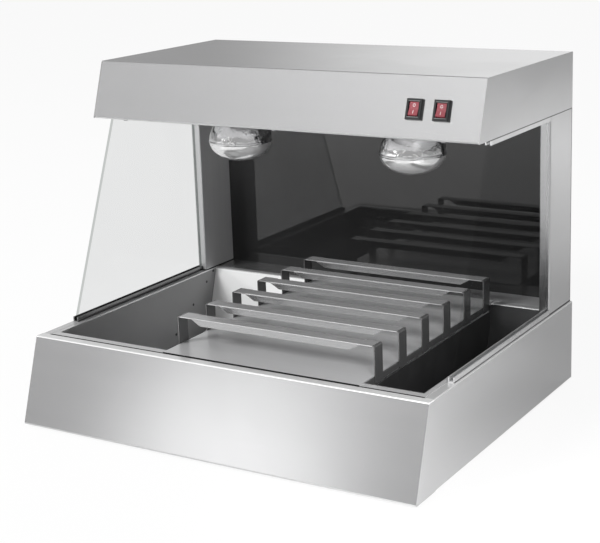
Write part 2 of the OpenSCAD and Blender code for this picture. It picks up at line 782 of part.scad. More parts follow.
module switch_terminals() {
    color("#c9a34e") place() for (x = [switch_x, switch_x + switch_pitch]) on_hood_front(x)
        for (v = [-8, 8], u = [-5.5, 5.5])
            box([u - 3.1, v - 0.4, -switch_deep - 8], [u + 3.1, v + 0.4, -switch_deep]);
}

// Fittings

// The gland's place on the base's rear, with Z pointing to the rear
module at_gland() translate([gland_x, base_d, gland_z]) rotate([-90, 0, 0]) children();

module cable_gland() {
    color("#2a2a2d") place() at_gland() difference() {
        union() {
            cylinder(r = gland_hex_r, h = 5, $fn = 6);
            translate([0, 0, -thread_len]) cylinder(r = thread_r, h = thread_len + 1);
            rotate_extrude() polygon(concat([[0, 4]], [[gland_hex_r * 0.82, 4]],
                [for (a = [0:15:90]) [gland_bore_r + 1.5 + (gland_hex_r * 0.82 - gland_bore_r - 1.5) * cos(a),
                    9 + (gland_out - 9) * sin(a)]], [[0, gland_out]]));
        }
        translate([0, 0, -thread_len - 1]) cylinder(r = gland_bore_r, h = thread_len + gland_out + 2);
    }
}

module gland_nut() {
    color("#2a2a2d") place() at_gland() translate([0, 0, -sheet - 5]) difference() {
        cylinder(r = gland_hex_r, h = 5, $fn = 6);
        translate([0, 0, -1]) cylinder(r = thread_r + screw_gap, h = 7);
    }
}

// A row of three insulated clamps on the bottom plate, near the gland
module terminal_block() {
    middle = [gland_x - terminal_aside, base_d - terminal_front, 2 * sheet];
    color("#dcd9cf") place() translate(middle) difference() {
        union() {
            box([-1.75 * clamp_pitch, -clamp_deep / 3, 0], [1.75 * clamp_pitch, clamp_deep / 3, clamp_base]);
            for (i = [-1:1]) box([i * clamp_pitch - clamp_w / 2, -clamp_deep / 2, clamp_base - tiny],
                [i * clamp_pitch + clamp_w / 2, clamp_deep / 2, clamp_top]);
        }
        for (i = [-1:1]) translate([i * clamp_pitch, -clamp_deep / 2 - 1, wire_hole_z]) rotate([-90, 0, 0])
            cylinder(r = wire_hole_r, h = clamp_deep + 2);
        for (i = [-1:1], side = [-1, 1]) translate([i * clamp_pitch, side * clamp_deep * 0.28, wire_hole_z])
            cylinder(r = clamp_screw_r, h = clamp_top);
    }
}

module hood_screws() {
    color("#8d8f92") place() for (x = hood_screw_x) translate([x, hood_screw_y, hood_z]) screw(screw_len);
}

module rear_screws() {
    color("#8d8f92") place() for (side = [-1, 1], z = concat(back_screw_z, rear_screw_z))
        translate([side * back_screw_x, base_d, z]) rotate([90, 0, 0]) screw(screw_len);
}

module bottom_screws() {
    color("#8d8f92") place() for (side = [-1, 1], y = bottom_screw_y)
        translate([side * bottom_screw_x, y, 0]) screw(screw_len);
}

base_front_panel();
base_left_panel();
base_right_panel();
base_rear_panel();
base_rear_shelf();
base_bottom_plate();
rubber_feet();
left_column();
right_column();
back_cover();
back_mirror();
hood_cover();
hood_lamp_plate();
hood_rear_cover();
left_bottom_channel();
right_bottom_channel();
left_top_channel();
right_top_channel();
left_glass();
right_glass();
chip_pan();
pan_rivets();
crumb_tray();
rack_plate();
left_rack_rail();
right_rack_rail();
rib_1();
rib_2();
rib_3();
rib_4();
rib_5();
rib_6();
left_lamp_bulb();
right_lamp_bulb();
left_lamp_cap();
right_lamp_cap();
left_lamp_socket();
right_lamp_socket();
left_socket_bracket();
right_socket_bracket();
left_switch_housing();
right_switch_housing();
left_switch_rocker();
right_switch_rocker();
switch_terminals();
terminal_block();
cable_gland();
gland_nut();
hood_screws();
rear_screws();
bottom_screws();
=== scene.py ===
"""Looks of a heated fry holding station, laid out as a Blender add-on.

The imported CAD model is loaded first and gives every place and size. Brushed
sheet metal, glass and dark panel are materials on its nodes. The lamps, the
rockers and the screws are modelled here in more detail in place of theirs, a
lip is added round each rocker, and all of them ride on the same bodies.
Everything is in metres: X to the right, Y to the rear, Z up.
"""

import json
import math

import bmesh
import bpy
from mathutils import Matrix, Vector


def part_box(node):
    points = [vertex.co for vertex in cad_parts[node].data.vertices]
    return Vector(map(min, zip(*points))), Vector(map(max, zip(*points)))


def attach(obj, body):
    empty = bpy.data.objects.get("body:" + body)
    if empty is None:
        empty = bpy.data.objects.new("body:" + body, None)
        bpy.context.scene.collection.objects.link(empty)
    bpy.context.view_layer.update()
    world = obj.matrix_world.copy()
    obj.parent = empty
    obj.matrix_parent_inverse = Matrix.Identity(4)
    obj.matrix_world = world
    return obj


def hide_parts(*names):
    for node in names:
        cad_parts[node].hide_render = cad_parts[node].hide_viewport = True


bl_info = {
    "name": "Fry warmer",
    "version": (1, 0, 0),
    "blender": (4, 5, 0),
    "location": "3D View > Sidebar > Fry Warmer",
    "description": "Builds the looks of a heated fry holding station",
    "category": "Object",
}

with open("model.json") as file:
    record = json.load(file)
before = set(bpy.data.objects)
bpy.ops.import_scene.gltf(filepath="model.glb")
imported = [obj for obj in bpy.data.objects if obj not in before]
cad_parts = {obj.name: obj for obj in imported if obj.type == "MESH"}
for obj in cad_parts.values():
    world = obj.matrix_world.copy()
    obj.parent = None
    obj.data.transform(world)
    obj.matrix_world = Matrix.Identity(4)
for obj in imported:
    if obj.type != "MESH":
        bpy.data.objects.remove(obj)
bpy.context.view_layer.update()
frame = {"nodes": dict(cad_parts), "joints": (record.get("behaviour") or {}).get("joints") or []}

SIDES = ("left", "right")

# Share of a metal's light that is mirrored, the rest being plain scatter
METAL_SHARE = 0.92

# Finishes of the metal: factor of the steel's colour, factor of its roughness, metal share
FINISHES = {
    "body": (1.0, 1.0, METAL_SHARE),
    "front panel": (1.0, 0.7, METAL_SHARE),
    # Painted light: the left column lighter, with more plain scatter
    "left column": (1.3, 1.0, 0.3),
    "right column": (1.0, 1.0, METAL_SHARE),
    # Painted shade: the shelf darker
    "shelf": (0.8, 1.0, 0.85),
    "pan": (1.0, 0.9, 0.78),
    # Painted light: the rack plate lighter
    "rack plate": (1.35, 1.3, 0.6),
    # Painted shade: the ribs darker
    "ribs": (0.72, 1.0, 0.85),
    "channel": (1.1, 0.8, METAL_SHARE),
    # Painted light: the right lower channel given more plain scatter, so that it shows lighter
    "channel painted light": (0.85, 1.0, 0.4),
    # Painted shade: the left lower channel darker
    "channel painted shade": (0.35, 0.8, METAL_SHARE),
}

# How far the sheet metal's darker and lighter bands are from its colour
BAND_SHADE = 0.05
LEFT_COLUMN_SHADE = 0.12

# Painted highlight on the base's flat rims, and a painted shadow line in the groove that the pan's
# flange lies in
FRONT_RIM_HIGHLIGHT = (1.0, 1.0, 1.0)
FRONT_RIM_METAL = 0.55
SIDE_RIM_HIGHLIGHT = (0.85, 0.85, 0.855)
SIDE_RIM_METAL = 0.65
RIM_HEIGHT = 0.1372
GROOVE_Y = -0.2368
GROOVE_X = 0.3354
GROOVE_HALF = 0.0018

# The pan's leaning rear wall and its front wall's inner skin: painted light, near white and mostly
# plain scatter
PAINTED_LIGHT_WHITE = (0.95, 0.95, 0.95)
RAMP_START = 0.160
RAMP_SIDE = 0.3255
RAMP_ROUGHNESS = 0.12
RAMP_METAL = 0.15
PAN_FRONT = -0.2185
FRONT_SKIN = 0.0009
FRONT_ROUGHNESS = 0.3
FRONT_METAL = 0.2

# The inner skin of the pan's left wall: painted shade, darker, rougher and with more plain scatter
PAN_SIDE = 0.327
SIDE_SKIN = 0.0004
PAN_WALL_SHADE_TINT = 0.62
SIDE_ROUGHNESS = 0.45
SIDE_METAL = 0.4

# Painted highlight on the ribs' tops, and painted shade on their legs to both sides of the rack's
# middle
RIB_TOP = 0.1840
RIB_TOP_HIGHLIGHT_TINT = 1.15
RIB_TOP_METAL = 0.65
RIB_HALF = 0.1693
RACK_MIDDLE = 0.06025
LEG_SHADE_TINT = 0.3
LEG_METAL = 0.5

# How deep the painted shade on the columns' front faces goes, and the left one's outer side, which
# keeps plain steel
COLUMN_FRONT = 0.002
COLUMN_FRONT_SHADE_TINT = 0.8
COLUMN_SKIN = 0.0012

# The shelf behind the pan has painted shade, and goes over to painted light to the right, by this
# share per metre
SHELF_FADE = 4.0
SHELF_LIGHT_TINT = 1.15
SHELF_METAL = 0.5

# Shadow lines: along the columns' feet, under the hood, at the foot of the right lower
# channel and along the rack plate's front edge
SHADE = (0.03, 0.03, 0.03)
COLUMN_FOOT = 0.1408
HOOD_SEAM = 0.0015
CHANNEL_FOOT = 0.0012
CHANNEL_SIDE = 0.0012
PLATE_EDGE = -0.2357

# Side glass: colour of a pane's edge, and share of the light that it mirrors
GLASS = {"left": ((0.62, 0.64, 0.63), 0.008), "right": ((0.99, 0.99, 0.99), 0.001)}
PANEL_IOR = 1.53

# Reflector lamps: height of the face, step at the bead, neck, angle that the face's
# curve stops short of, and its shallow rings, which reach out to a share of the radius
LAMP_FACE = 0.034
LAMP_STEP = 0.0009
NECK_RADIUS = 0.017
NECK_TOP = 0.74
NECK_END = 0.004
FACE_EDGE = 0.09
FACE_RING_PITCH = 0.008
FACE_RING_DEPTH = 0.00012
FACE_RINGS_REACH = 0.6
FACE_STEPS, BEAD_STEPS, BODY_STEPS = 60, 8, 40

# Waves in the silvered glass, as the marks' size and depth
WAVE_SIZE = 38.0
WAVE_DEPTH = 0.0007

# Rocker switches, drawn with X across, Y up the hood's front and Z out of it
HOOD_LEAN = math.atan2(31.2, 90.5)
ROCKER_TURN = math.radians(8)
ROCKER_WIDE = 0.0152
ROCKER_HALF = 0.0098
ROCKER_FACE = 0.004
ROCKER_HOLLOW = 1.3
ROCKER_STEPS = 8
ROCKER_ROUNDING = (0, 0.15, 0.3, 0.5, 0.7)
ROCKER_BEVEL = 0.0005
FRAME_OUT = 0.005
OPENING_HALF = (0.0088, 0.0119)
LIP_WIDE = 0.0011
LIP_REACH = (0.0003, 0.0006)
LIP_HIGH = 0.0005
LIP_BEVEL = 0.45

# The rockers' marks: where they lie as a share of the half rocker, the ring's radius,
# line and stretch, and the bar's width in lines, length in radii and bevel in lines
MARK_PLACE = 0.52
MARK_RADIUS = 0.0018
MARK_LINE = 0.0003
RING_STRETCH = (1, 1.15, 0.6)
BAR_LINES = 2.4
BAR_RADII = 2.9
BAR_BEVEL = 0.3

# Screws with a domed head and a cross-shaped recess. The recess is in shares of the
# head's flat middle, and its depth in a share of the head's height.
HEAD_RADIUS = 0.0038
HEAD_HEIGHT = 0.0022
HEAD_RIM = 0.0005
HEAD_FLAT = 0.62
HEAD_STEPS = 24
SHANK_RADIUS = 0.002
SHANK_LENGTH = 0.007
RECESS_EDGE = 0.12
RECESS_REACH = 0.82
RECESS_ARM = 0.26
RECESS_DEPTH = 0.55

# Wide soft lights that the metal mirrors: turn from the front in degrees, to the
# right, rise above the floor, spread, and strength above the even level
MIRRORED_LEVEL = 0.40
SOFT_LIGHTS = (
    (-32.5, 8, 6.5, 1.38),
    (-14, 36, 28, 0.8),
    (-50, 32, 30, 0.3),
    (-160, 10, 16, 0.75),
    (-132, 30, 14, 0.1),
)

# Lights: place, point that they face, length of a side, and spread in degrees
LIGHTS = {
    "key": ((-2.3, -3.5, 3.0), (0, 0, 0.1), 1.8, 180),
    "side": ((0.78, -0.6, 0.5), (0.46, -0.25, 0.0), 0.3, 70),
    "rear": ((1.4, 2.6, 1.6), (1.25, 2.4, 0.0), 0.6, 100),
}
FLOOR_HALF = 20.0
FLOOR_GLOW = 0.9

# The photo's camera: place, turn, rise and roll in degrees, and its lens
CAMERA_PLACE = (1.1653, -1.8732, 0.8231)
CAMERA_ANGLES = (30.75, 14.03, -1.77)
SENSOR_WIDTH = 36
FOCAL_PIXELS = 1417.87
PHOTO_WIDTH = 600
LENS_SHIFT = (-0.05, -0.0525)
CLIP_RANGE = (0.05, 50)


# Materials

def new_material(name):
    """A material with one Principled shader: (material, tree, shader)."""
    mat = bpy.data.materials.new(name)
    mat.use_nodes = True
    tree = mat.node_tree
    return mat, tree, tree.nodes["Principled BSDF"]


def node(tree, kind, **values):
    made = tree.nodes.new(kind)
    for key, value in values.items():
        setattr(made, key, value)
    return made


def new_group(name, inputs, outputs):
    """A node group with named sockets: (group, its input node, its output node)."""
    group = bpy.data.node_groups.new(name, "ShaderNodeTree")
    for label, kind, default in inputs:
        socket = group.interface.new_socket(label, in_out="INPUT", socket_type=kind)
        socket.default_value = default
    for label, kind in outputs:
        group.interface.new_socket(label, in_out="OUTPUT", socket_type=kind)
    return group, group.nodes.new("NodeGroupInput"), group.nodes.new("NodeGroupOutput")


def brushed_lines_group():
    """Long fine lines, and wider bands that lie along them."""
    group, given, out = new_group(
        "Brushed lines",
        [("Position", "NodeSocketVector", (0, 0, 0)), ("Stretch", "NodeSocketVector", (1, 1, 1))],
        [("Lines", "NodeSocketFloat"), ("Bands", "NodeSocketFloat")],
    )
    link = group.links.new
    for label, scale, detail in (("Lines", 1.0, 4.0), ("Bands", 0.11, 2.0)):
        wide = node(group, "ShaderNodeVectorMath", operation="SCALE")
        wide.inputs["Scale"].default_value = scale
        grid = node(group, "ShaderNodeMapping")
        noise = node(group, "ShaderNodeTexNoise")
        noise.inputs["Scale"].default_value = 1.0
        noise.inputs["Detail"].default_value = detail
        noise.inputs["Roughness"].default_value = 0.6
        link(given.outputs["Stretch"], wide.inputs[0])
        link(given.outputs["Position"], grid.inputs["Vector"])
        link(wide.outputs[0], grid.inputs["Scale"])
        link(grid.outputs[0], noise.inputs["Vector"])
        link(noise.outputs[0], out.inputs[label])
    return group


def wiping_marks_group():
    """Faint cloudy marks, as wiping leaves on sheet metal and glass."""
    group, given, out = new_group(
        "Wiping marks",
        [("Position", "NodeSocketVector", (0, 0, 0)), ("Size", "NodeSocketFloat", 6.0)],
        [("Marks", "NodeSocketFloat")],
    )
    noise = node(group, "ShaderNodeTexNoise")
    noise.inputs["Detail"].default_value = 3.0
    noise.inputs["Distortion"].default_value = 0.8
    spread = node(group, "ShaderNodeMapRange", interpolation_type="SMOOTHSTEP")
    spread.inputs["From Min"].default_value = 0.35
    spread.inputs["From Max"].default_value = 0.7
    group.links.new(given.outputs["Position"], noise.inputs["Vector"])
    group.links.new(given.outputs["Size"], noise.inputs["Scale"])
    group.links.new(noise.outputs[0], spread.inputs["Value"])
    group.links.new(spread.outputs[0], out.inputs["Marks"])
    return group


def grain_group():
    """A fine moulded or cast grain."""
    group, given, out = new_group(
        "Fine grain",
        [("Position", "NodeSocketVector", (0, 0, 0)), ("Fineness", "NodeSocketFloat", 900.0)],
        [("Grain", "NodeSocketFloat")],
    )
    noise = node(group, "ShaderNodeTexNoise")
    noise.inputs["Detail"].default_value = 2.0
    group.links.new(given.outputs["Position"], noise.inputs["Vector"])
    group.links.new(given.outputs["Fineness"], noise.inputs["Scale"])
    group.links.new(noise.outputs[0], out.inputs["Grain"])
    return group


GROUPS = {
    "lines": brushed_lines_group(),
    "marks": wiping_marks_group(),
    "grain": grain_group(),
}


def place_group(tree, kind, **values):
    """One of the shared effects in a material, fed with Object coordinates."""
    made = node(tree, "ShaderNodeGroup", node_tree=GROUPS[kind])
    where = node(tree, "ShaderNodeTexCoord")
    tree.links.new(where.outputs["Object"], made.inputs["Position"])
    for label, value in values.items():
        made.inputs[label].default_value = value
    return made


def wiping_marks(tree, size):
    return place_group(tree, "marks", Size=size).outputs["Marks"]


def fine_grain(tree, fineness):
    return place_group(tree, "grain", Fineness=fineness).outputs["Grain"]


def between(tree, value, low, high):
    """A number that goes from low to high as value goes from 0 to 1."""
    spread = node(tree, "ShaderNodeMapRange")
    spread.inputs["To Min"].default_value = low
    spread.inputs["To Max"].default_value = high
    tree.links.new(value, spread.inputs["Value"])
    return spread.outputs[0]


def mixed_colour(tree, value, low, high):
    mix = node(tree, "ShaderNodeMix", data_type="RGBA")
    mix.inputs[6].default_value = (*low, 1)
    mix.inputs[7].default_value = (*high, 1)
    tree.links.new(value, mix.inputs[0])
    return mix.outputs[2]


def bumped(tree, height, shader, distance):
    bump = node(tree, "ShaderNodeBump")
    bump.inputs["Strength"].default_value = 1.0
    bump.inputs["Distance"].default_value = distance
    tree.links.new(height, bump.inputs["Height"])
    tree.links.new(bump.outputs[0], shader.inputs["Normal"])


def scaled(colour, factor):
    return tuple(min(1.0, c * factor) for c in colour)


def shaded(tree, value, colour, share):
    """A colour that goes from a share darker to a share lighter."""
    return mixed_colour(tree, value, scaled(colour, 1 - share), scaled(colour, 1 + share))


def varied(tree, value, middle, share):
    """A number that goes from a share below its middle to a share above it."""
    return between(tree, value, middle * (1 - share), middle * (1 + share))


def average(tree, a, b, weight):
    """a and b mixed, with weight for b."""
    mix = node(tree, "ShaderNodeMix", data_type="FLOAT")
    mix.inputs[0].default_value = weight
    tree.links.new(a, mix.inputs[2])
    tree.links.new(b, mix.inputs[3])
    return mix.outputs[0]


def finish_of(kind, colour, roughness):
    """Colour, roughness and metal share of a finish, from those of the plain steel."""
    tint, dull, metal = FINISHES[kind]
    return scaled(colour, tint), roughness * dull, metal


# Lines per metre of the brushing, few along it and many across
STRETCH = {"X": (3, 650, 650), "Y": (650, 3, 650), "Z": (650, 650, 3)}
LINE_DEPTH = 0.0000015


def brushed_steel(name, along, colour, roughness, metal, shade=BAND_SHADE):
    """Sheet metal brushed along one axis, with darker bands and wiping marks."""
    mat, tree, shader = new_material(name)
    lines = place_group(tree, "lines", Stretch=STRETCH[along])
    grey = average(tree, lines.outputs["Lines"], lines.outputs["Bands"], 0.5)
    tree.links.new(shaded(tree, grey, colour, shade), shader.inputs["Base Color"])
    dull = average(tree, lines.outputs["Bands"], wiping_marks(tree, 5.0), 0.4)
    tree.links.new(varied(tree, dull, roughness, 0.1), shader.inputs["Roughness"])
    bumped(tree, lines.outputs["Lines"], shader, LINE_DEPTH)
    shader.inputs["Metallic"].default_value = metal
    shader.inputs["Anisotropic"].default_value = 0.5
    tangent = node(tree, "ShaderNodeTangent", direction_type="RADIAL", axis=along)
    tree.links.new(tangent.outputs[0], shader.inputs["Tangent"])
    return mat


def change_where(mat, tests, colour, roughness=None, metal=None):
    """Another finish where every test of place holds.

    A test is (axis, operation, limit). With a middle at its end it is on the distance
    from there, and with MULTIPLY it fades the finish in from zero along the axis.
    """
    tree = mat.node_tree
    shader = tree.nodes["Principled BSDF"]
    where = node(tree, "ShaderNodeTexCoord")
    split = node(tree, "ShaderNodeSeparateXYZ")
    tree.links.new(where.outputs["Object"], split.inputs[0])
    mask = None
    for axis, operation, limit, *middle in tests:
        value = split.outputs[axis]
        if middle:
            value = math_node(tree, "ABSOLUTE", math_node(tree, "SUBTRACT", value, middle[0]), 0)
        test = math_node(tree, operation, value, limit)
        mask = math_node(tree, "MULTIPLY", mask, test) if mask else test
    tone = node(tree, "ShaderNodeMix", data_type="RGBA")
    tone.inputs[7].default_value = (*colour, 1)
    tree.links.new(mask, tone.inputs[0])
    tree.links.new(shader.inputs["Base Color"].links[0].from_socket, tone.inputs[6])
    tree.links.new(tone.outputs[2], shader.inputs["Base Color"])
    for label, value in (("Roughness", roughness), ("Metallic", metal)):
        if value is None:
            continue
        change = node(tree, "ShaderNodeMix", data_type="FLOAT")
        change.inputs[2].default_value = shader.inputs[label].default_value
        change.inputs[3].default_value = value
        tree.links.new(mask, change.inputs[0])
        for link in shader.inputs[label].links:
            tree.links.new(link.from_socket, change.inputs[2])
        tree.links.new(change.outputs[0], shader.inputs[label])
    return mat


def rims_painted_lit(mat, colour, metal):
    """The flat rims get a painted highlight for the light from above, and a painted shadow line
    marks their groove.
    """
    above = ("Z", "GREATER_THAN", RIM_HEIGHT)
    groove = [("Y", "LESS_THAN", GROOVE_HALF, GROOVE_Y), ("X", "LESS_THAN", GROOVE_X, 0)]
    change_where(mat, [above], colour, metal=metal)
    return change_where(mat, [above, *groove], SHADE)


def math_node(tree, operation, first, second):
    made = node(tree, "ShaderNodeMath", operation=operation)
    for place, value in enumerate((first, second)):
        if isinstance(value, (int, float)):
            made.inputs[place].default_value = value
        else:
            tree.links.new(value, made.inputs[place])
    return made.outputs[0]


def satin_metal(name, colour, roughness, metal=METAL_SHARE):
    """Metal with a fine even grain."""
    mat, tree, shader = new_material(name)
    grain = fine_grain(tree, 700.0)
    tree.links.new(shaded(tree, grain, colour, 0.06), shader.inputs["Base Color"])
    tree.links.new(varied(tree, wiping_marks(tree, 6.0), roughness, 0.2),
                   shader.inputs["Roughness"])
    bumped(tree, grain, shader, 0.00002)
    shader.inputs["Metallic"].default_value = metal
    return mat


def moulded(name, colour, roughness, shade=0.12, coat=0.0):
    """Plastic, rubber, ceramic or a coating, with a fine grain and dull marks."""
    mat, tree, shader = new_material(name)
    grain = fine_grain(tree, 1400.0)
    tree.links.new(shaded(tree, wiping_marks(tree, 14.0), colour, shade),
                   shader.inputs["Base Color"])
    tree.links.new(varied(tree, grain, roughness, 0.15), shader.inputs["Roughness"])
    bumped(tree, grain, shader, 0.00004)
    shader.inputs["Coat Weight"].default_value = coat
    shader.inputs["Coat Roughness"].default_value = 0.1
    return mat


def lamp_skin(name, colour, size, faded, dull, metal, coat, coat_dull):
    """Silver or frost behind clear glass, clouded a little: (material, tree, shader)."""
    mat, tree, shader = new_material(name)
    marks = wiping_marks(tree, size)
    tree.links.new(mixed_colour(tree, marks, colour, scaled(colour, faded)),
                   shader.inputs["Base Color"])
    tree.links.new(between(tree, marks, *dull), shader.inputs["Roughness"])
    shader.inputs["Metallic"].default_value = metal
    shader.inputs["Coat Weight"].default_value = coat
    shader.inputs["Coat Roughness"].default_value = coat_dull
    return mat, tree, shader


def dark_panel_material(colour):
    """A dark polished panel that mirrors a little of what stands before it."""
    mat, tree, shader = new_material("Dark panel")
    marks = wiping_marks(tree, 4.0)
    tree.links.new(mixed_colour(tree, marks, colour, scaled(colour, 1.25)),
                   shader.inputs["Base Color"])
    tree.links.new(between(tree, marks, 0.004, 0.015), shader.inputs["Roughness"])
    shader.inputs["IOR"].default_value = PANEL_IOR
    return mat


def clear_glass(name, colour, edge, shine):
    """A thin clear pane with darker edges, which mirrors a very little."""
    mat, tree, shader = new_material(name)
    tree.nodes.remove(shader)
    marked = mixed_colour(tree, wiping_marks(tree, 3.0), colour, scaled(colour, 1.015))
    facing = node(tree, "ShaderNodeSeparateXYZ")
    geometry = node(tree, "ShaderNodeNewGeometry")
    tree.links.new(geometry.outputs["Normal"], facing.inputs[0])
    sideways = math_node(tree, "ABSOLUTE", facing.outputs["X"], 0)
    tint = node(tree, "ShaderNodeMix", data_type="RGBA")
    tint.inputs[6].default_value = (*edge, 1)
    tree.links.new(math_node(tree, "GREATER_THAN", sideways, 0.5), tint.inputs[0])
    tree.links.new(marked, tint.inputs[7])
    through = node(tree, "ShaderNodeBsdfTransparent")
    tree.links.new(tint.outputs[2], through.inputs["Color"])
    mirror = node(tree, "ShaderNodeBsdfAnisotropic", distribution="GGX")
    mirror.inputs["Roughness"].default_value = 0.02
    mix = node(tree, "ShaderNodeMixShader")
    mix.inputs[0].default_value = shine
    tree.links.new(through.outputs[0], mix.inputs[1])
    tree.links.new(mirror.outputs[0], mix.inputs[2])
    tree.links.new(mix.outputs[0], tree.nodes["Material Output"].inputs["Surface"])
    return mat


def give(material, *names):
    """Puts a material on CAD nodes in place of the one they came with."""
    for name in names:
        for place in frame["nodes"][name].material_slots:
            place.material = material


# Meshes and directions

def finish_piece(name, mesh, material, body, smooth=0.6):
    """A bmesh becomes a piece at the origin that rides on a body."""
    bmesh.ops.remove_doubles(mesh, verts=mesh.verts, dist=1e-6)
    bmesh.ops.recalc_face_normals(mesh, faces=mesh.faces)
    data = bpy.data.meshes.new(name)
    mesh.to_mesh(data)
    mesh.free()
    piece = bpy.data.objects.new(name, data)
    bpy.context.scene.collection.objects.link(piece)
    for part in material if isinstance(material, (list, tuple)) else [material]:
        data.materials.append(part)
    data.shade_smooth()
    data.set_sharp_from_angle(angle=smooth)
    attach(piece, body)
    return piece


def turned(mesh, outline, steps=96, index=0):
    """Spins an outline of (radius, height) points round Z."""
    before = set(mesh.faces)
    points = [mesh.verts.new((r, 0, z)) for r, z in outline]
    edges = [mesh.edges.new(pair) for pair in zip(points, points[1:])]
    bmesh.ops.spin(mesh, geom=points + edges, cent=(0, 0, 0), axis=(0, 0, 1), angle=math.tau,
                   steps=steps, use_merge=True)
    bmesh.ops.remove_doubles(mesh, verts=mesh.verts, dist=1e-7)
    for face in mesh.faces:
        if face not in before:
            face.material_index = index


def round_edges(mesh, edges, offset, segments=2):
    bmesh.ops.bevel(mesh, geom=list(edges), offset=offset, affect="EDGES", segments=segments,
                    profile=0.5, material=-1)


def raise_faces(mesh, faces, vec):
    """Extrudes faces by a vector, and gives what was made."""
    made = bmesh.ops.extrude_face_region(mesh, geom=faces)["geom"]
    moved = [part for part in made if isinstance(part, bmesh.types.BMVert)]
    bmesh.ops.translate(mesh, vec=vec, verts=moved)
    return made


def tilt(mesh, verts, turn):
    """Turns vertices round X."""
    bmesh.ops.rotate(mesh, verts=verts, cent=(0, 0, 0), matrix=Matrix.Rotation(turn, 3, "X"))


def direction(turn, rise):
    """Outwards, by a turn from the front and a rise above the floor, in radians."""
    flat = math.cos(rise)
    return Vector((math.sin(turn) * flat, -math.cos(turn) * flat, math.sin(rise)))


# Sizes and colours that a user would change

class SheetProperties(bpy.types.PropertyGroup):
    steel: bpy.props.FloatVectorProperty(
        name="Steel colour", description="Colour of the brushed sheet metal",
        default=(0.60, 0.60, 0.605), subtype="COLOR", min=0, max=1)
    roughness: bpy.props.FloatProperty(
        name="Steel roughness", description="How dull the brushed sheet metal is",
        default=0.23, min=0.05, max=1, subtype="FACTOR")
    panel: bpy.props.FloatVectorProperty(
        name="Panel colour", description="Colour of the dark back panel",
        default=(0.018, 0.018, 0.0182), subtype="COLOR", min=0, max=1)
    glass: bpy.props.FloatVectorProperty(
        name="Glass colour", description="Tint of the side glass",
        default=(0.90, 0.903, 0.903), subtype="COLOR", min=0, max=1)


class LampProperties(bpy.types.PropertyGroup):
    silver: bpy.props.FloatVectorProperty(
        name="Silver colour", description="Colour of the lamps' silvered glass",
        default=(0.86, 0.86, 0.865), subtype="COLOR", min=0, max=1)
    face: bpy.props.FloatVectorProperty(
        name="Face colour", description="Colour of the lamps' frosted faces",
        default=(0.95, 0.95, 0.95), subtype="COLOR", min=0, max=1)
    ring: bpy.props.FloatProperty(
        name="Ring height", description="Height of the moulded ring at the lamp's widest place",
        default=0.0035, min=0.001, max=0.01, subtype="DISTANCE", unit="LENGTH")


class SwitchProperties(bpy.types.PropertyGroup):
    rocker: bpy.props.FloatVectorProperty(
        name="Rocker colour", description="Colour of the rockers",
        default=(0.27, 0.055, 0.068), subtype="COLOR", min=0, max=1)
    marks: bpy.props.FloatVectorProperty(
        name="Mark colour", description="Colour of the ring and bar marks",
        default=(0.85, 0.80, 0.80), subtype="COLOR", min=0, max=1)
    # Painted highlight on the lip's upper and lower bars
    lip: bpy.props.FloatVectorProperty(
        name="Lip colour", description="Colour of the painted highlights on the lip round each rocker",
        default=(0.17, 0.17, 0.17), subtype="COLOR", min=0, max=1)
    frame_colour: bpy.props.FloatVectorProperty(
        name="Frame colour", description="Colour of the switch frames",
        default=(0.012, 0.013, 0.014), subtype="COLOR", min=0, max=1)


class StageProperties(bpy.types.PropertyGroup):
    key: bpy.props.FloatProperty(
        name="Key light", description="Power of the large soft light at the front left",
        default=230.0, min=0, unit="POWER")
    side: bpy.props.FloatProperty(
        name="Side light", description="Power of the small soft light at the front right",
        default=1.0, min=0, unit="POWER")
    rear: bpy.props.FloatProperty(
        name="Rear light", description="Power of the small soft light at the rear right",
        default=4.5, min=0, unit="POWER")
    fill: bpy.props.FloatProperty(
        name="Fill light", description="Level of the even light from all round",
        default=0.52, min=0)
    floor: bpy.props.FloatVectorProperty(
        name="Floor colour", description="Colour of the floor",
        default=(0.86, 0.86, 0.86), subtype="COLOR", min=0, max=1)


# Operators

